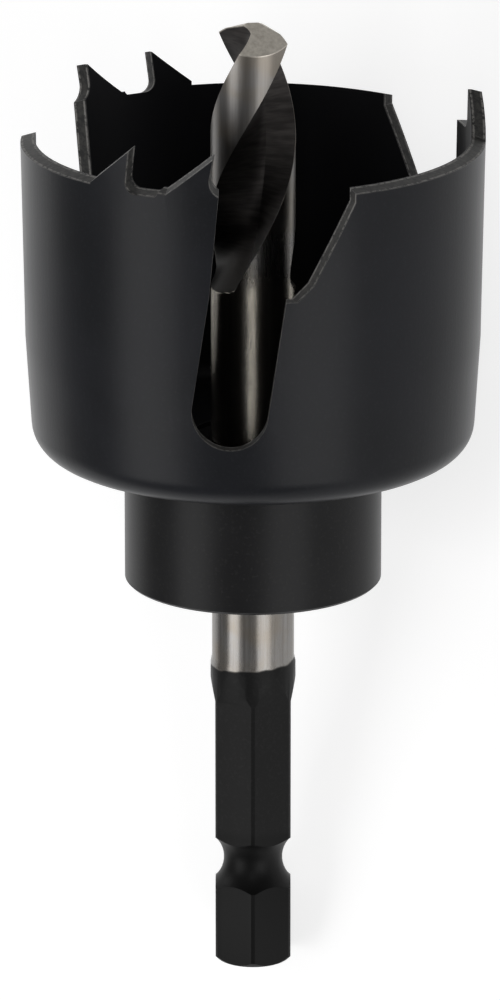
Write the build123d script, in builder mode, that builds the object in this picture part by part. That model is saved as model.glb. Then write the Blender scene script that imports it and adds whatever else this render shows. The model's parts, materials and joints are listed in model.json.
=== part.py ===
from build123d import *
import os
from math import asin, atan2, cos, degrees, hypot, radians, sin, tan

# A hole saw of 38 mm: a pressed, toothed steel cup on a turned hub, a pilot drill
# with its own hexagonal drive shank through both, and the grub screw that holds it.
# Millimetres and degrees. Heights run along the tool's axis from the shank's end
# towards the drill's point. Angles turn about that axis, in the cutting direction.
# The tool lies on a flat surface, on the end of its shank and the cup's round corner.

# ---------------------------------------------------------------- drive shank
SHANK_FLATS = 6.35            # across the flats of the quarter-inch hexagon
SHANK_STOCK = 7.15            # diameter that the hexagon's corners are turned to
HEX_LENGTH = 23.3             # flats at full depth
FLAT_RUN_OUT = 1.8            # where the flats rise to the stock's surface
COLLAR_LENGTH = 1.25          # plain ring of stock over the flats
COLLAR_CHAMFER = 0.63
END_CHAMFER = 0.45            # on the corners at the shank's end
GROOVE_HEIGHT = 8.9           # middle of the chuck's locking groove
GROOVE_DIAMETER = 4.93        # at the bottom of the groove
GROOVE_RADIUS = 2.8           # of the groove's round section

# ---------------------------------------------------------------- pilot drill
NECK_DIAMETER = 6.89          # round shank between the collar and the drill's body
NECK_LENGTH = 6.85            # bare length of it behind the hub
DRILL_DIAMETER = 7.03
PILOT_REACH = 6.45            # drill's point past the tooth tips
FLUTE_LENGTH = 22.15          # from the point to the end of the run-out
FLUTE_RUN_OUT = 3.75
FLUTE_PITCH = 38.7            # one right-hand turn
FLUTE_SPAN = 87.0             # of the drill's circle that each flute takes
WEB = 1.4                     # core between the flutes
LIP_ANGLE = 54.0              # where the leading edge meets the drill's corner
POINT_SLOPE = 29.5            # each flank of the point, below square
CHISEL_LEAD = 40.0            # chisel edge, ahead of the lips
SCREW_SEAT_DEPTH = 0.35       # flat on the drill that the grub screw bears on
SCREW_SEAT_LENGTH = 6.4

# ---------------------------------------------------------------- hub
HUB_DIAMETER = 21.45
HUB_HEIGHT = 11.25
HUB_CHAMFER = 0.2
SPIGOT_DIAMETER = 10.2        # passes through the cup's floor
SPIGOT_RECESS = 0.4           # below the floor's upper face

# ---------------------------------------------------------------- cup
RIM_DIAMETER = 38.3           # at the low rim
CUP_HEIGHT = 29.9             # from the underside to the tooth tips
WALL = 1.2
WALL_TAPER = 0.95
FOOT_TAPER = 3.45             # of the wall's foot, which was drawn in further
FOOT_HEIGHT = 10.0            # of that foot above the underside
CORNER_RADIUS = 2.65          # outside, between the floor and the wall
TOOTH_HEIGHT = 3.15           # tooth tips above the low rim
RIM_BEVEL = 16.0              # all upper edges are ground, down to the outside
BACK_RUN = 3.9                # length of a tooth's back slope
HOOK_FLOOR = 2.6              # length of the small gullet in front of a tooth
HOOK_DEPTH = 0.2              # of its floor below the rim
HOOK_UNDERCUT = 0.45
HOOK_RADIUS = 0.9
SEGMENTS = (                  # wall after each gullet: its trailing corner past the
    (25.6, (19.9,)),          # gullet's mark, and its tooth tips behind the next mark
    (22.2, (31.6, 9.7)),
    (25.6, (31.6, 9.7)),
)
GULLET_WIDTH = 6.2
GULLET_LEAN = 8.5             # of the slot from the axis
GULLET_FOOT = 8.4             # centre of its round end above the underside
GULLET_FOOT_SIDE = -1.87      # the same centre, beside the gullet's mark
EDGE_DROP = 8.5               # the leading edge straightens this far below the rim
EDGE_SIDE = -2.75             # leading edge at the rim, beside the gullet's mark
BARB_HEIGHT = 0.15            # small barb at the foot of a tooth on the leading edge
BARB_UNDERCUT = 0.3
STEP_DROP = 8.95              # shoulder on the trailing side, below the rim
STEP_SIDE = 1.3
TAIL_SLOPE = 28.0             # of the trailing edge above the shoulder
TAIL_UPRIGHT = 1.05           # its upper end, square to the rim

# ---------------------------------------------------------------- grub screw
SCREW_DIAMETER = 5.0
SCREW_LENGTH = 6.0
SCREW_SOCKET = 2.5            # across flats
SCREW_SOCKET_DEPTH = 2.5
SCREW_CHAMFER = 0.5
SCREW_ANGLE = 180.0

# ---------------------------------------------------------------- clearances
BORE_FIT = 0.02               # radial, drill in hub
SPIGOT_FIT = 0.02             # radial, spigot in floor
THREAD_FIT = 0.02             # radial, screw in hub

# ---------------------------------------------------------------- worked out
run_out_top = HEX_LENGTH + FLAT_RUN_OUT
collar_top = run_out_top + COLLAR_LENGTH + COLLAR_CHAMFER
hub_rear = collar_top + NECK_LENGTH
hub_front = hub_rear + HUB_HEIGHT
floor_top = hub_front + WALL
spigot_top = floor_top - SPIGOT_RECESS
tip_level = hub_front + CUP_HEIGHT
rim_level = tip_level - TOOTH_HEIGHT
point_level = tip_level + PILOT_REACH
flute_end = point_level - FLUTE_LENGTH
screw_level = hub_rear + HUB_HEIGHT / 2
drill_radius = DRILL_DIAMETER / 2
rim_radius = RIM_DIAMETER / 2
taper = radians(WALL_TAPER)
foot_taper = radians(FOOT_TAPER)
corner_level = hub_front + CORNER_RADIUS
bend_level = hub_front + FOOT_HEIGHT
bend_radius = rim_radius - (rim_level - bend_level) * tan(taper)
corner_side = bend_radius - (bend_level - corner_level) * tan(foot_taper) - CORNER_RADIUS / cos(foot_taper)
inner_rim_radius = rim_radius - WALL / cos(taper)
clear_of_tool = 2 * RIM_DIAMETER
past_edge = 1.5

# The surface that the tool lies on touches the edge of the lowest flat at the
# shank's end and the round corner of the cup. The axis climbs towards the point.
corner_offset = corner_side - SHANK_FLATS / 2
climb = atan2(corner_offset, corner_level) + asin(CORNER_RADIUS / hypot(corner_offset, corner_level))
level_tool = Plane(origin=(0, 0, 0), x_dir=(1, 0, 0), z_dir=(0, cos(climb), sin(climb)))


def turned(plane, angle):
    """The plane turned about its own normal."""
    return Plane(plane.location * Location((0, 0, 0), (0, 0, angle)))


tool = turned(level_tool, 360 / 12)
tool_axis = Axis(tool.origin, tool.z_dir)


def facing(angle):
    """Plane through the axis that faces outwards at an angle: x with the cut, y along the axis."""
    plane = turned(tool, angle)
    return Plane(origin=plane.origin, x_dir=plane.x_dir, z_dir=-plane.y_dir)


def half_section(angle=0):
    """Plane of a radial section at an angle: x outwards, y along the axis."""
    return facing(angle - 90)


def bevelled(angle):
    """Plane of the ground edges at an angle: its origin is the inner edge of the low rim."""
    face = facing(angle)
    edge = face.origin + face.z_dir * inner_rim_radius + face.y_dir * rim_level
    outwards = face.z_dir.rotate(Axis(face.origin, face.x_dir), RIM_BEVEL)
    return Plane(origin=edge, x_dir=face.x_dir, z_dir=outwards)


# ---------------------------------------------------------------- pilot drill
def flute_cutter(angle):
    """One twisted flute, from below its run-out to past the point."""
    start = flute_end - past_edge
    length = point_level + past_edge - start
    twist = 360 * length / FLUTE_PITCH
    lead = angle + LIP_ANGLE - 360 * (point_level - start) / FLUTE_PITCH
    web = WEB / 2
    reach = drill_radius + past_edge
    heel = radians(FLUTE_SPAN) + asin(web / drill_radius)
    with BuildSketch() as outline:
        with BuildLine():
            rake = Line((reach, web), (web / 2, web))
            back = TangentArc(rake @ 1, (reach * cos(heel), reach * sin(heel)), tangent=rake % 1)
            Polyline(back @ 1, (reach * cos(heel), 2 * reach), (reach, 2 * reach), rake @ 0)
        make_face()
    place = turned(tool.offset(start), lead - 90)
    wire = place.from_local_coords(outline.sketch.face()).outer_wire()
    return Solid.extrude_linear_with_rotation(wire, place.origin, place.z_dir * length, twist)


with BuildPart() as flutes:
    # Two flutes, lifted out of the drill along the curve of their run-out.
    add(flute_cutter(0))
    add(flute_cutter(180))
    with BuildSketch(half_section()):
        with BuildLine():
            deep = Line((0, flute_end - 2 * past_edge), (0, flute_end + FLUTE_RUN_OUT))
            root = Line(deep @ 1, (WEB / 4, flute_end + FLUTE_RUN_OUT))
            lift = TangentArc(root @ 1, (drill_radius, flute_end), tangent=(0, -1))
            Polyline(lift @ 1, (clear_of_tool, flute_end), (clear_of_tool, flute_end - 2 * past_edge),
                     deep @ 0)
        make_face()
    revolve(axis=tool_axis, mode=Mode.SUBTRACT)

with BuildPart() as flats:
    # Space that the six flats leave for the shank, up to where they run out in the collar.
    with BuildSketch(tool.offset(HEX_LENGTH)):
        RegularPolygon(SHANK_FLATS / 2, 6, major_radius=False, rotation=30)
    extrude(amount=-HEX_LENGTH)
    with BuildSketch(tool.offset(HEX_LENGTH)):
        RegularPolygon(SHANK_FLATS / 2, 6, major_radius=False, rotation=30)
    with BuildSketch(tool.offset(run_out_top)):
        RegularPolygon(SHANK_STOCK / 2, 6, major_radius=False, rotation=30)
    loft()

with BuildPart() as pilot_drill:
    with BuildSketch(half_section()):
        with BuildLine():
            Polyline((0, 0), (SHANK_STOCK / 2 - END_CHAMFER, 0), (SHANK_STOCK / 2, END_CHAMFER),
                     (SHANK_STOCK / 2, run_out_top), (0, run_out_top), close=True)
        make_face()
    revolve(axis=tool_axis)
    add(flats.part, mode=Mode.INTERSECT)
    with BuildSketch(half_section()):
        with BuildLine():
            Polyline((0, run_out_top), (SHANK_STOCK / 2, run_out_top),
                     (SHANK_STOCK / 2, collar_top - COLLAR_CHAMFER), (NECK_DIAMETER / 2, collar_top),
                     (NECK_DIAMETER / 2, floor_top), (drill_radius, floor_top),
                     (drill_radius, point_level), (0, point_level), close=True)
        make_face()
    revolve(axis=tool_axis)
    # Locking groove.
    with BuildSketch(half_section()):
        with Locations((GROOVE_DIAMETER / 2 + GROOVE_RADIUS, GROOVE_HEIGHT)):
            Circle(GROOVE_RADIUS)
    revolve(axis=tool_axis, mode=Mode.SUBTRACT)
    # Flat under the grub screw.
    with BuildSketch(facing(SCREW_ANGLE).offset(NECK_DIAMETER / 2 - SCREW_SEAT_DEPTH)):
        with Locations((0, screw_level)):
            Rectangle(DRILL_DIAMETER, SCREW_SEAT_LENGTH)
    extrude(amount=DRILL_DIAMETER, mode=Mode.SUBTRACT)
    # Point: two flat flanks that meet in the chisel edge.
    slope = tan(radians(POINT_SLOPE)) * DRILL_DIAMETER
    with BuildSketch(facing(LIP_ANGLE + CHISEL_LEAD)):
        with BuildLine():
            Polyline((0, point_level), (DRILL_DIAMETER, point_level - slope),
                     (DRILL_DIAMETER, point_level + past_edge), (-DRILL_DIAMETER, point_level + past_edge),
                     (-DRILL_DIAMETER, point_level - slope), close=True)
        make_face()
    extrude(amount=DRILL_DIAMETER, both=True, mode=Mode.SUBTRACT)
    add(flutes.part, mode=Mode.SUBTRACT)
pilot_drill.part.label = "pilot_drill"

# ---------------------------------------------------------------- hub
with BuildPart() as hub:
    with BuildSketch(tool.offset(hub_rear)):
        Circle(HUB_DIAMETER / 2)
    extrude(amount=HUB_HEIGHT)
    chamfer(hub.faces().sort_by(tool_axis)[0].edges(), HUB_CHAMFER)
    with BuildSketch(tool.offset(hub_front)):
        Circle(SPIGOT_DIAMETER / 2)
    extrude(amount=WALL - SPIGOT_RECESS)
    with BuildSketch(tool.offset(hub_rear)):
        Circle(drill_radius + BORE_FIT)
    extrude(amount=spigot_top - hub_rear, mode=Mode.SUBTRACT)
    with BuildSketch(facing(SCREW_ANGLE)):
        with Locations((0, screw_level)):
            Circle(SCREW_DIAMETER / 2 + THREAD_FIT)
    extrude(amount=HUB_DIAMETER, mode=Mode.SUBTRACT)
hub.part.label = "hub"

# ---------------------------------------------------------------- grub screw
screw_seat = NECK_DIAMETER / 2 - SCREW_SEAT_DEPTH
with BuildPart() as grub_screw:
    with BuildSketch(facing(SCREW_ANGLE).offset(screw_seat)):
        with Locations((0, screw_level)):
            Circle(SCREW_DIAMETER / 2)
    extrude(amount=SCREW_LENGTH)
    chamfer(grub_screw.edges().filter_by(GeomType.CIRCLE), SCREW_CHAMFER)
    with BuildSketch(facing(SCREW_ANGLE).offset(screw_seat + SCREW_LENGTH - SCREW_SOCKET_DEPTH)):
        with Locations((0, screw_level)):
            RegularPolygon(SCREW_SOCKET / 2, 6, major_radius=False)
    extrude(amount=SCREW_SOCKET_DEPTH, mode=Mode.SUBTRACT)
grub_screw.part.label = "grub_screw"


# ---------------------------------------------------------------- cup
bevel_fall = WALL * tan(radians(RIM_BEVEL))
lean = radians(GULLET_LEAN)
foot_level = hub_front + GULLET_FOOT
step_level = rim_level - STEP_DROP
flare_run = (rim_level - TAIL_UPRIGHT - step_level - STEP_SIDE) * tan(radians(TAIL_SLOPE))


def slot_point(across, along):
    """Point of the leaning slot, measured from the centre of its round foot."""
    return (GULLET_FOOT_SIDE + across * cos(lean) + along * sin(lean),
            foot_level - across * sin(lean) + along * cos(lean))


def slot_side(point, level):
    """Where the side of the slot through a point reaches a level."""
    return (point[0] + (level - point[1]) * tan(lean), level)


slot_left = slot_point(-GULLET_WIDTH / 2, 0)
slot_right = slot_point(GULLET_WIDTH / 2, 0)
slot_low = slot_point(0, -GULLET_WIDTH / 2)
slot_bend = slot_side(slot_left, rim_level - EDGE_DROP)
slot_step = slot_side(slot_right, step_level)


def cup_side(inset):
    """Corner, foot and upper wall of the cup, inset from the outside. Returns its two ends."""
    corner = CenterArc((corner_side, corner_level), CORNER_RADIUS - inset, -90, 90 - FOOT_TAPER)
    middle = (taper + foot_taper) / 2
    step_in = inset / cos(foot_taper - middle)
    bend = (bend_radius - step_in * cos(middle), bend_level + step_in * sin(middle))
    foot = Line(corner @ 1, bend)
    wall = PolarLine(foot @ 1, tip_level - bend_level, 90 - WALL_TAPER)
    return corner @ 0, wall @ 1


with BuildPart() as saw_cup:
    with BuildSketch(half_section()):
        with BuildLine():
            outer_foot, outer_top = cup_side(0)
            inner_foot, inner_top = cup_side(WALL)
            hole = SPIGOT_DIAMETER / 2 + SPIGOT_FIT
            Polyline(inner_foot, (hole, floor_top), (hole, hub_front), outer_foot)
            Line(inner_top, outer_top)
        make_face()
    revolve(axis=tool_axis)
    for index, (tail_angle, tip_leads) in enumerate(SEGMENTS):
        mark = 360 / len(SEGMENTS) * index
        next_mark = mark + 360 / len(SEGMENTS)
        # Low rim, up to the root of the first tooth.
        with BuildSketch(half_section(mark)):
            with BuildLine():
                Polyline((inner_rim_radius - WALL, rim_level + bevel_fall),
                         (inner_rim_radius + 2 * WALL, rim_level - 2 * bevel_fall),
                         (inner_rim_radius + 2 * WALL, tip_level + past_edge),
                         (inner_rim_radius - WALL, tip_level + past_edge), close=True)
            make_face()
        first_root = next_mark - tip_leads[0] - degrees(BACK_RUN / rim_radius)
        revolve(axis=tool_axis, revolution_arc=first_root - mark, mode=Mode.SUBTRACT)
        for tip_lead in tip_leads:
            # Back slope of the tooth.
            with BuildSketch(bevelled(next_mark - tip_lead)):
                with BuildLine():
                    Polyline((0, TOOTH_HEIGHT), (-BACK_RUN, 0), (-BACK_RUN - past_edge, 0),
                             (-BACK_RUN - past_edge, 2 * TOOTH_HEIGHT), (0, 2 * TOOTH_HEIGHT), close=True)
                make_face()
            extrude(amount=2 * WALL, both=True, mode=Mode.SUBTRACT)
            # Cutting face, and the small gullet or the barb in front of it.
            last = tip_lead == tip_leads[-1]
            edge = rim_radius * sin(radians(tip_lead)) + EDGE_SIDE
            with BuildSketch(bevelled(next_mark - tip_lead)):
                with BuildLine():
                    if last and edge < BACK_RUN / 2:
                        face = Line((0, TOOTH_HEIGHT), (-BARB_UNDERCUT, TOOTH_HEIGHT / 2))
                        floor = TangentArc(face @ 1, (edge, BARB_HEIGHT), tangent=face % 1)
                        end = edge + BACK_RUN
                    else:
                        foot_side = 0 if last else -HOOK_UNDERCUT
                        end = edge + BACK_RUN if last else HOOK_FLOOR
                        floor = FilletPolyline((0, TOOTH_HEIGHT), (foot_side, -HOOK_DEPTH),
                                               (end - HOOK_DEPTH, -HOOK_DEPTH), radius=HOOK_RADIUS)
                    Polyline(floor @ 1, (end, 0), (end, 2 * TOOTH_HEIGHT), (0, 2 * TOOTH_HEIGHT),
                             (0, TOOTH_HEIGHT))
                make_face()
            extrude(amount=2 * WALL, both=True, mode=Mode.SUBTRACT)
        # Gullet: a leaning slot with a round foot.
        with BuildSketch(facing(mark)):
            with BuildLine():
                Polyline(slot_left, slot_bend, (EDGE_SIDE, rim_level), (EDGE_SIDE, tip_level + past_edge),
                         (slot_step[0], tip_level + past_edge), slot_step, slot_right)
                ThreePointArc(slot_left, slot_low, slot_right)
            make_face()
        extrude(amount=2 * rim_radius, mode=Mode.SUBTRACT)
        # Its flare, from a shoulder up to the segment's trailing corner.
        with BuildSketch(facing(mark + tail_angle)):
            with BuildLine():
                Polyline((0, tip_level + past_edge), (0, rim_level - TAIL_UPRIGHT),
                         (-flare_run, step_level + STEP_SIDE), (-flare_run - STEP_SIDE, step_level),
                         (-flare_run - GULLET_WIDTH, step_level),
                         (-flare_run - GULLET_WIDTH, tip_level + past_edge), close=True)
            make_face()
        extrude(amount=2 * rim_radius, mode=Mode.SUBTRACT)
saw_cup.part.label = "saw_cup"

os.makedirs("parts", exist_ok=True)
for piece in (saw_cup, hub, pilot_drill, grub_screw):
    export_step(piece.part, f"parts/{piece.part.label}.step")
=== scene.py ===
import json
import math

import bmesh
import bpy
from mathutils import Matrix, Vector


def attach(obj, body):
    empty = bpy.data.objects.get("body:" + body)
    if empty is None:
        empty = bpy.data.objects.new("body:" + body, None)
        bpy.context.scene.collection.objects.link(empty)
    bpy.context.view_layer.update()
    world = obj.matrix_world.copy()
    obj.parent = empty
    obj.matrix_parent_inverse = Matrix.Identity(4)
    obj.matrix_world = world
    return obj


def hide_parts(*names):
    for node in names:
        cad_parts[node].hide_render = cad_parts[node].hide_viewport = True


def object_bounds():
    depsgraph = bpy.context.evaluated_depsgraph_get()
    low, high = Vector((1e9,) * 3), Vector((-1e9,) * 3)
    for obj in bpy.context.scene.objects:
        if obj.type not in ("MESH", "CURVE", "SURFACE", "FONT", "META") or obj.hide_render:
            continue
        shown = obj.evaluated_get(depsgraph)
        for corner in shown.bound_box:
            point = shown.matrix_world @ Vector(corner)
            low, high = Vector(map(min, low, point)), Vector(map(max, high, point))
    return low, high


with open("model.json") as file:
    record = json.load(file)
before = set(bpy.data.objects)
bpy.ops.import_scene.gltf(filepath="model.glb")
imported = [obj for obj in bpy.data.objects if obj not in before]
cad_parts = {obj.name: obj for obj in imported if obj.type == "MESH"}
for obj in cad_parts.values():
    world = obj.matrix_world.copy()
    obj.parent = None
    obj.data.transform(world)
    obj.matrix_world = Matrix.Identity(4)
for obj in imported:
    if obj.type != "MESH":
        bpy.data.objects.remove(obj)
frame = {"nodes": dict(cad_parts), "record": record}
cad_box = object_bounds()

# The tool's own axes. It lies on its shank's end and the cup's corner, so its axis climbs towards
# the point, and it is turned about that axis so that one gullet is on the upper side.
shank_end = next(mount for mount in frame["record"]["mounts"] if mount["name"] == "shank_end")
axis = -Vector(shank_end["axis"]).normalized()
side = Vector((1, 0, 0))
over = side.cross(axis).normalized()
roll = math.radians(30)
front = over * math.cos(roll) + side * math.sin(roll)
across = side * math.cos(roll) - over * math.sin(roll)

# Shank, in metres. Levels are measured along the axis from the shank's end.
GROOVE_END = 0.0118
BLACK_END = 0.02655
NECK_END = 0.0462
NECK_RADIUS = 0.003445

# Cup.
FLOOR_TOP = 0.04628
BEND_LEVEL = 0.05508
RIM_LEVEL = 0.07183
RIM_RADIUS = 0.01915
WALL = 0.0012
WALL_SLOPE = math.tan(math.radians(0.95))
FOOT_SLOPE = math.tan(math.radians(3.45))

# Drill. Angles are turned about the axis, the rake face's own angle being 0.
DRILL_RADIUS = 0.003515
HALF_WEB = 0.0007
HEEL_REACH = 0.0015
FLUTE_START = 0.0590
FLUTE_RUN_OUT = 0.0062
FLUTE_PITCH = 0.0387
FLUTE_SPAN = math.radians(87)
LIP_ANGLE = math.radians(54)
POINT_LEVEL = 0.08143
POINT_SLOPE = math.radians(29.5)
CHISEL_TURN = LIP_ANGLE + math.radians(40)
CHISEL_HALF = 0.00043
CHISEL_FALL = math.radians(22.5)

# The drill's rings of points, and the plain cylinder between the cup's floor and the first twist.
SEAM_LEVEL = 0.0444
SEAM_BAND = 0.0006
PLAIN_START = 0.050
PLAIN_STEP = 0.004
TWIST_START = 0.0582
RING_STEP = 0.0002
RINGS_PAST_POINT = 0.0025
HALF_TURN_POINTS = 120
RAKE_EDGE = 0.001

# Edges sharper than the first angle are rounded, and edges sharper than the second stay crisp.
ROUNDED_ABOVE = math.radians(28)
CRISP_ABOVE = math.radians(22)
SAME_POINT = 0.000002
SAME_PLANE = math.radians(0.2)


# ---------------------------------------------------------------- shader maths
def plug(tree, socket, item):
    """Links a socket, or writes a number, colour or vector into it."""
    item = item.value if isinstance(item, Sock) else item
    if isinstance(item, bpy.types.NodeSocket):
        tree.links.new(item, socket)
    elif socket.type == "RGBA":
        socket.default_value = (*item, 1)
    else:
        socket.default_value = item


def add_node(tree, kind, settings=None, sockets=None, output=0):
    """A node with its settings, then its sockets' values or links. Returns one of its outputs."""
    node = tree.nodes.new(kind)
    for name, value in (settings or {}).items():
        setattr(node, name, value)
    for name, value in (sockets or {}).items():
        plug(tree, node.inputs[name], value)
    return Sock(tree, node.outputs[output])


class Sock:
    """A node socket that Python arithmetic works on."""

    def __init__(self, tree, value):
        self.tree = tree
        self.value = value

    def maths(self, operation, *others):
        operands = dict(enumerate((self, *others)))
        return add_node(self.tree, "ShaderNodeMath", {"operation": operation}, operands)

    def __add__(self, other):
        return self.maths("ADD", other)

    def __sub__(self, other):
        return self.maths("SUBTRACT", other)

    def __mul__(self, other):
        return self.maths("MULTIPLY", other)

    __radd__ = __add__
    __rmul__ = __mul__

    def __rsub__(self, other):
        return (self * -1) + other

    def above(self, level, soft):
        """0 below the level, 1 above it, with a soft step between."""
        return add_node(self.tree, "ShaderNodeMapRange", {"interpolation_type": "SMOOTHSTEP"},
                        {"Value": self, "From Min": level - soft / 2, "From Max": level + soft / 2})

    def between(self, low, high, soft):
        return self.above(low, soft) * (1 - self.above(high, soft))


class Finish:
    """A material round one Principled shader, with the tool's own coordinates."""

    def __init__(self, name, **constants):
        self.material = bpy.data.materials.new(name)
        self.material.use_nodes = True
        self.tree = self.material.node_tree
        self.shader = self.tree.nodes["Principled BSDF"]
        self.drive(**constants)
        spot = self.node("ShaderNodeTexCoord", output="Object")
        self.x, self.y, self.h = [self.node("ShaderNodeVectorMath", {"operation": "DOT_PRODUCT"},
                                            {0: spot, 1: tuple(direction)}, output="Value")
                                  for direction in (across, front, axis)]
        self.place = self.join(self.x, self.y, self.h)
        self.radius = (self.x * self.x + self.y * self.y).maths("SQRT")
        self.turn = self.x.maths("ARCTAN2", self.y)

    def node(self, kind, settings=None, sockets=None, output=0):
        return add_node(self.tree, kind, settings, sockets, output)

    def join(self, x, y, z):
        return self.node("ShaderNodeCombineXYZ", sockets={0: x, 1: y, 2: z})

    def noise(self, vector, scale, detail=2.0, rough=0.5):
        return self.node("ShaderNodeTexNoise", sockets={"Vector": vector, "Scale": scale, "Detail": detail,
                                                        "Roughness": rough})

    def mix(self, factor, first, second):
        """Colour mix; the colours are RGB tuples or sockets."""
        return self.node("ShaderNodeMix", {"data_type": "RGBA"}, {0: factor, 6: first, 7: second}, output=2)

    def drive(self, **values):
        """Values or links of the shader's sockets, with an underscore for each space in a name."""
        for socket, value in values.items():
            plug(self.tree, self.shader.inputs[socket.replace("_", " ")], value)

    def bump(self, height, distance):
        self.drive(Normal=self.node("ShaderNodeBump", sockets={"Height": height, "Distance": distance}))


def grey(level, red=0.0, blue=0.0):
    """Linear colour of a grey as it looks, 0 to 255, with small shifts of its red and blue."""
    def linear(value):
        value = value / 255
        return value / 12.92 if value <= 0.04045 else ((value + 0.055) / 1.055) ** 2.4
    return linear(level + red), linear(level), linear(level + blue)


# ---------------------------------------------------------------- finishes
def cup_finish():
    """Black oxide on pressed steel: satin outside, duller inside with painted shade darkening it, and rough,
    rubbed cut faces with painted highlights along their edges.
    """
    made = Finish("black_oxide_cup", Specular_IOR_Level=0.14)
    outside = RIM_RADIUS - (RIM_LEVEL - made.h) * WALL_SLOPE
    drawn_in = (BEND_LEVEL - made.h).maths("MAXIMUM", 0.0) * (FOOT_SLOPE - WALL_SLOPE)
    depth = outside - drawn_in - made.radius
    wall = made.h.above(FLOOR_TOP + 0.003, 0.0004)
    cut = depth.between(0.00006, WALL - 0.00008, 0.00004) * wall
    inside = depth.above(WALL - 0.00008, 0.00004)
    # Painted highlight: thin bands on the cut faces along their outer and inner edges.
    painted_edge_highlight = cut * (1 - depth.above(0.00022, 0.00012)) + cut * depth.above(WALL - 0.00026, 0.0001)

    cloudy = made.noise(made.place, 110.0, 3.0)
    drawn = made.noise(made.join(made.turn * 0.02, made.radius, made.h * 0.03), 2600.0, 3.0, 0.65)
    grain = made.noise(made.place, 3800.0, 2.0, 0.6)
    speckle = made.noise(made.place, 2300.0, 3.0, 0.7)

    tone = made.mix(cloudy.above(0.5, 0.5), grey(25, -1, 3), grey(30, -1, 4))
    tone = made.mix(grain.above(0.62, 0.18) * 0.22, tone, grey(44, -1, 4))
    # Painted shade: the inside of the wall is darkened towards grey(10).
    tone = made.mix(inside * 0.9, tone, grey(10, 0, 3))
    tone = made.mix(cut, tone, made.mix(speckle.above(0.5, 0.3), grey(37), grey(58, 1, -2)))
    # Painted highlight: the cut faces' edge bands are lightened to a bright grey.
    tone = made.mix(painted_edge_highlight * speckle.above(0.47, 0.2), tone, grey(120, 2, -3))
    made.drive(Base_Color=tone, Roughness=0.28 + cloudy * 0.08 + cut * 0.16 + inside * 0.12)
    made.bump(grain * 0.35 + drawn * 0.35 + cut * speckle * 2.5, 0.000012)
    return made.material


def hub_finish():
    """Black oxide on a turned hub, with fine turning rings on its faces and round its side."""
    made = Finish("black_oxide_hub", Specular_IOR_Level=0.13)
    cloudy = made.noise(made.place, 130.0, 3.0)
    grain = made.noise(made.place, 3800.0, 2.0, 0.6)
    rings = made.noise(made.join(made.radius, made.h, 0.0), 3200.0, 2.0, 0.7)
    tone = made.mix(cloudy.above(0.5, 0.5), grey(24, 0, 1), grey(29, 0, 1))
    tone = made.mix(grain.above(0.63, 0.18) * 0.45, tone, grey(44))
    made.drive(Base_Color=tone, Roughness=0.28 + cloudy * 0.08 + grain * 0.06)
    made.bump(grain * 0.3 + rings * 0.5, 0.00001)
    return made.material


def screw_finish():
    """Black oxide on the grub screw."""
    made = Finish("black_oxide_screw", Specular_IOR_Level=0.5)
    grain = made.noise(made.place, 3200.0, 2.0, 0.6)
    made.drive(Base_Color=made.mix(grain.above(0.55, 0.3), grey(22), grey(36)), Roughness=0.3 + grain * 0.15)
    made.bump(grain, 0.000008)
    return made.material


def point_mask(made):
    """1 on the drill's ground point: its two flanks and the falling ends of its chisel edge."""
    lean = (made.x * math.cos(CHISEL_TURN) - made.y * math.sin(CHISEL_TURN)).maths("ABSOLUTE")
    along = (made.x * math.sin(CHISEL_TURN) + made.y * math.cos(CHISEL_TURN)).maths("ABSOLUTE")
    flanks = made.h + lean * math.tan(POINT_SLOPE)
    ends = made.h + (along - CHISEL_HALF) * math.tan(CHISEL_FALL)
    return flanks.maths("MAXIMUM", ends).above(POINT_LEVEL - 0.00008, 0.00008)


def drill_finish():
    """One bar of steel: blackened hexagon, bare ground neck and body, dark rolled flutes."""
    made = Finish("ground_steel", Specular_IOR_Level=0.13)
    grain = made.noise(made.place, 3600.0, 2.0, 0.6)
    patches = made.noise(made.place, 260.0, 3.0, 0.6)
    ragged = made.noise(made.join(made.x, made.y, 0.0), 360.0, 2.0)
    streaks = made.noise(made.join(made.x, made.y, made.h * 0.03), 2400.0, 3.0, 0.7)
    rolled = made.noise(made.join(made.x * 0.15, made.y * 0.15, made.h), 2600.0, 2.0, 0.6)

    black = 1 - (made.h + (ragged - 0.5) * 0.0011 - made.x * 0.07).above(BLACK_END, 0.00022)
    point = point_mask(made)
    sunk = 1 - made.radius.above(DRILL_RADIUS - 0.00003, 0.00002)
    fluted = sunk * (1 - point) * made.h.above(FLUTE_START - 0.0006, 0.0004)
    polished = made.h.between(FLOOR_TOP - 0.001, FLUTE_START + 0.001, 0.002)
    streaked = streaks.above(0.5, 0.5)

    steel = made.mix(streaked, (0.165, 0.158, 0.152), (0.24, 0.234, 0.228))
    steel = made.mix(patches.above(0.52, 0.3) * 0.6, steel, (0.2, 0.172, 0.135))
    steel = made.mix(polished, steel, made.mix(streaked, (0.36, 0.335, 0.29), (0.50, 0.465, 0.40)))
    flute = made.mix(rolled.above(0.55, 0.5), (0.037, 0.034, 0.033), (0.074, 0.068, 0.065))
    flute = made.mix(made.h.above(0.0626, 0.004), (0.015, 0.014, 0.013), flute)
    steel = made.mix(fluted, steel, flute)
    steel = made.mix(point, steel, made.mix(streaked, (0.37, 0.343, 0.30), (0.52, 0.485, 0.43)))
    oxide = made.mix(grain.above(0.6, 0.2) * 0.4, grey(17), grey(34))
    oxide = made.mix(made.h.above(GROOVE_END, 0.001), grey(8), oxide)

    brushed = streaks * (1 - polished)
    roughness = 0.22 + brushed * 0.1 + made.h.above(0.066, 0.006) * 0.08 + fluted * 0.16 + black * 0.16
    made.drive(Base_Color=made.mix(black, steel, oxide), Metallic=1 - black, Roughness=roughness)
    bare = (1 - black) * (1 - fluted)
    ground = (made.h * 157000.0).maths("SINE") * made.h.between(FLOOR_TOP - 0.001, 0.0655, 0.004)
    made.bump(brushed * 0.04 + fluted * rolled * 0.7 + black * grain * 0.6 + bare * ground * 0.24, 0.000009)
    return made.material


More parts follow.
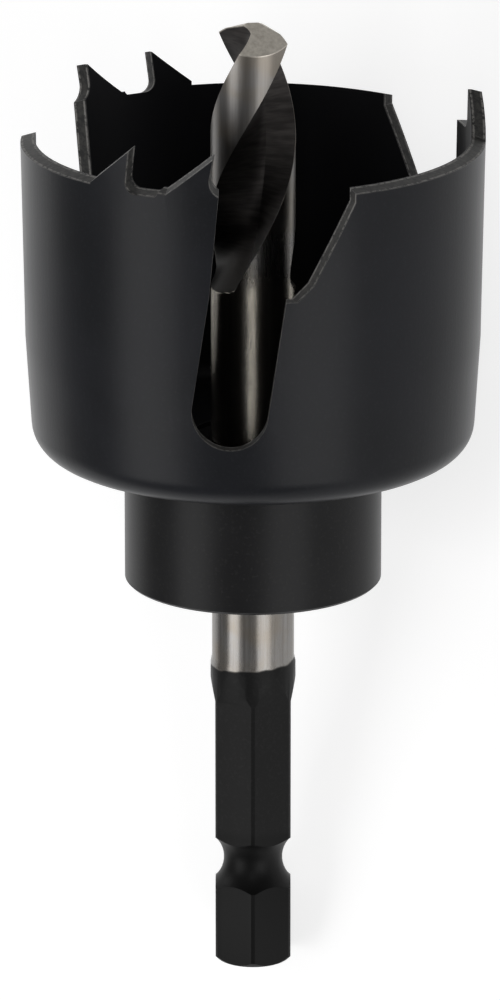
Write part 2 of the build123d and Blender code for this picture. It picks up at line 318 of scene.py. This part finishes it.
def worn_finish(name, dark, bright):
    """Rounded edges, where the oxide is rubbed thin."""
    made = Finish(name, Specular_IOR_Level=0.5)
    rubbed = made.noise(made.place, 700.0, 4.0, 0.75)
    made.drive(Base_Color=made.mix(rubbed.above(0.5, 0.3), dark, bright), Roughness=0.3 + rubbed * 0.15)
    return made.material


# ---------------------------------------------------------------- fluted drill
def flute_radius(angle):
    """Where the flute's floor is at an angle from the rake face: a plane, then a round back."""
    if angle < math.atan2(HALF_WEB, HALF_WEB / 2):
        return HALF_WEB / max(math.sin(angle), 1e-6)
    reach = DRILL_RADIUS + HEEL_REACH
    heel = FLUTE_SPAN + math.asin(HALF_WEB / DRILL_RADIUS)
    run = reach * math.cos(heel) - HALF_WEB / 2
    rise = reach * math.sin(heel) - HALF_WEB
    round_back = (run * run + rise * rise) / (2 * rise)
    middle = Vector((HALF_WEB / 2, HALF_WEB + round_back))
    ahead = middle.dot(Vector((math.cos(angle), math.sin(angle))))
    inner = ahead * ahead - middle.length_squared + round_back * round_back
    if inner < 0 or ahead + math.sqrt(max(inner, 0)) < DRILL_RADIUS:
        return DRILL_RADIUS
    return ahead - math.sqrt(inner)


def drill_levels():
    """Levels of the drill's rings: few on the neck and the plain body, many where the flutes are."""
    levels = [SEAM_LEVEL + SEAM_BAND, NECK_END, FLOOR_TOP]
    levels += [PLAIN_START + PLAIN_STEP * step for step in range(3)]
    while levels[-1] < POINT_LEVEL + RINGS_PAST_POINT:
        levels.append(levels[-1] + RING_STEP)
    return levels


def drill_ring(body, level, angles):
    """The drill's section at one level. The flutes grow shallower towards where they start."""
    widest = NECK_RADIUS if level <= NECK_END else DRILL_RADIUS
    lifted = min(max(1 - (level - FLUTE_START) / FLUTE_RUN_OUT, 0), 1)
    lift = (DRILL_RADIUS - HALF_WEB) * lifted ** 2
    twist = LIP_ANGLE - math.pi / 2 - 2 * math.pi * (POINT_LEVEL - max(level, TWIST_START)) / FLUTE_PITCH
    ring = []
    for angle in angles:
        radius = min(widest, flute_radius(angle % math.pi) + lift)
        outward = across * math.cos(angle + twist) - front * math.sin(angle + twist)
        ring.append(body.verts.new(axis * level + outward * radius))
    return ring


def cut_away(body, spot, normal):
    """Removes what is past a plane."""
    everything = list(body.verts) + list(body.edges) + list(body.faces)
    return bmesh.ops.bisect_plane(body, geom=everything, plane_co=spot, plane_no=normal, clear_outer=True)


def grind_point(body):
    """Cuts two flanks that meet in the chisel edge, and lets that edge fall away at both ends."""
    down = across * math.cos(CHISEL_TURN) - front * math.sin(CHISEL_TURN)
    along = across * math.sin(CHISEL_TURN) + front * math.cos(CHISEL_TURN)
    for away, start, slope in ((down, 0, POINT_SLOPE), (-down, 0, POINT_SLOPE),
                               (along, CHISEL_HALF, CHISEL_FALL), (-along, CHISEL_HALF, CHISEL_FALL)):
        normal = (axis * math.cos(slope) + away * math.sin(slope)).normalized()
        cut = cut_away(body, axis * POINT_LEVEL + away * start, normal)
        edges = [item for item in cut["geom_cut"] if isinstance(item, bmesh.types.BMEdge)]
        bmesh.ops.triangle_fill(body, use_beauty=True, edges=edges)


def add_drill(body):
    """Adds the drill, from inside the hub to its point, and joins it to the shank below it."""
    rake = math.asin(HALF_WEB / DRILL_RADIUS)
    angles = [math.pi * step / HALF_TURN_POINTS for step in range(HALF_TURN_POINTS)]
    angles = sorted(set(angles + [rake, rake + RAKE_EDGE]))
    angles = angles + [angle + math.pi for angle in angles]
    rings = [drill_ring(body, level, angles) for level in drill_levels()]
    for low, high in zip(rings, rings[1:]):
        for slot in range(len(angles)):
            body.faces.new((low[slot], high[slot], high[slot - 1], low[slot - 1]))
    grind_point(body)
    bmesh.ops.bridge_loops(body, edges=[edge for edge in body.edges if edge.is_boundary])
    bmesh.ops.recalc_face_normals(body, faces=body.faces)


# ---------------------------------------------------------------- rounded edges
def round_edges(body, width, finish_slot):
    """Rounds the sharp edges, and gives the rounding the finish in a slot of its own."""
    edges = [edge for edge in body.edges if edge.is_manifold and edge.calc_face_angle(0) > ROUNDED_ABOVE]
    corners = list(dict.fromkeys(corner for edge in edges for corner in edge.verts))
    for face in body.faces:
        face.material_index = 0
    bmesh.ops.bevel(body, geom=edges + corners, offset=width, offset_type="OFFSET", segments=2, profile=0.6,
                    affect="EDGES", clamp_overlap=True, material=finish_slot)


def shade_smooth(body):
    """Smooth faces, with crisp edges where they turn sharply or the finish changes."""
    for face in body.faces:
        face.smooth = True
    for edge in body.edges:
        faces = edge.link_faces
        same = len(faces) == 2 and faces[0].material_index == faces[1].material_index
        edge.smooth = same and edge.calc_face_angle(0) < CRISP_ABOVE


def softened(node_name, name, width, finishes, fluted=False):
    """The solid's own surface with rounded edges, which take the last finish. The drill is built anew."""
    node = frame["nodes"][node_name]
    mesh = bpy.data.meshes.new(name)
    body = bmesh.new()
    body.from_mesh(node.data)
    bmesh.ops.remove_doubles(body, verts=body.verts, dist=SAME_POINT)
    if fluted:
        cut_away(body, axis * SEAM_LEVEL, axis)
    bmesh.ops.dissolve_limit(body, angle_limit=SAME_PLANE, verts=body.verts, edges=body.edges)
    round_edges(body, width, len(finishes) - 1)
    if fluted:
        add_drill(body)
    shade_smooth(body)
    body.to_mesh(mesh)
    body.free()
    for finish in finishes:
        mesh.materials.append(finish)
    piece = bpy.data.objects.new(name, mesh)
    bpy.context.scene.collection.objects.link(piece)
    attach(piece, "root")
    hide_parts(node_name)


# ---------------------------------------------------------------- floor, light and camera
def add_floor(low):
    """A wide pale floor that looks white to the camera and in reflections, and keeps shadows."""
    reach = 4.0
    mesh = bpy.data.meshes.new("floor")
    mesh.from_pydata([(-reach, -reach, low), (reach, -reach, low), (reach, reach, low), (-reach, reach, low)],
                     [], [(0, 1, 2, 3)])
    floor = bpy.data.objects.new("floor", mesh)
    bpy.context.scene.collection.objects.link(floor)
    made = Finish("floor_paper", Base_Color=(0.45, 0.45, 0.45), Roughness=1.0, Specular_IOR_Level=0.0,
                  Emission_Color=(1, 1, 1))
    camera, glossy, through = [made.node("ShaderNodeLightPath", output=ray)
                               for ray in ("Is Camera Ray", "Is Glossy Ray", "Is Transmission Ray")]
    seen = camera.maths("MAXIMUM", glossy).maths("MAXIMUM", through)
    made.drive(Emission_Strength=seen * 0.72)
    mesh.materials.append(made.material)


def add_world():
    """Even, dim light from all round."""
    world = bpy.data.worlds.new("studio")
    bpy.context.scene.world = world
    world.use_nodes = True
    world.node_tree.nodes["Background"].inputs["Color"].default_value = (1, 1, 1, 1)
    world.node_tree.nodes["Background"].inputs["Strength"].default_value = 0.26


def facing(right, up, back):
    """The rotation of a camera or lamp, from its own three directions."""
    return Matrix((right, up, back)).transposed()


def add_softbox(name, turn, rise, distance, width, height, radiance):
    """A soft lamp round the tool: turned from the front to the right, and raised along the axis."""
    data = bpy.data.lights.new(name, "AREA")
    data.shape = "RECTANGLE"
    data.size = width
    data.size_y = height
    data.energy = radiance * math.pi * width * height
    lamp = bpy.data.objects.new(name, data)
    lamp.visible_camera = False
    bpy.context.scene.collection.objects.link(lamp)
    turn = math.radians(turn)
    rise = math.radians(rise)
    away = (front * math.cos(turn) + across * math.sin(turn)) * math.cos(rise) + axis * math.sin(rise)
    upright = (axis - away * axis.dot(away)).normalized()
    right = upright.cross(away).normalized()
    aimed_at = axis * 0.045
    lamp.matrix_world = Matrix.Translation(aimed_at + away * distance) @ facing(right, upright, away).to_4x4()


def add_camera():
    """A long lens in front of the tool, tilted down over its rim, with the tool's axis upright."""
    data = bpy.data.cameras.new("camera")
    data.sensor_fit = "VERTICAL"
    data.sensor_height = 36
    data.lens = 272.9
    data.clip_end = 20
    pitch = math.radians(17.36)
    back = (front * math.cos(pitch) + axis * math.sin(pitch)).normalized()
    up = (axis * math.cos(pitch) - front * math.sin(pitch)).normalized()
    right = up.cross(back).normalized()
    turned = facing(right, up, back) @ Matrix.Rotation(0.0004, 3, "Y")
    camera = bpy.data.objects.new("camera", data)
    bpy.context.scene.collection.objects.link(camera)
    camera.matrix_world = Matrix.Translation(front * 0.6040 + axis * 0.2293) @ turned.to_4x4()
    bpy.context.scene.camera = camera


softened("saw_cup", "toothed_cup", 0.00008,
         (cup_finish(), worn_finish("rubbed_cup_edges", grey(40), grey(88, 2, -3))))
softened("hub", "turned_hub", 0.0001,
         (hub_finish(), worn_finish("rubbed_hub_edges", grey(30), grey(60))))
softened("pilot_drill", "drill_and_shank", 0.00012, (drill_finish(),), fluted=True)
for holder in frame["nodes"]["grub_screw"].material_slots:
    holder.material = screw_finish()

bpy.context.scene.view_settings.view_transform = "Standard"
add_floor(cad_box[0].z)
add_world()
add_softbox("left_softbox", -54, -17, 0.8, 0.44, 0.58, 2.8)
add_softbox("right_softbox", 31, -16, 0.9, 0.60, 0.62, 2.4)
add_softbox("front_softbox", -1, 14, 1.0, 0.12, 0.36, 5.0)
add_softbox("side_softbox", -100, 25, 0.9, 0.50, 0.50, 2.0)
add_camera()
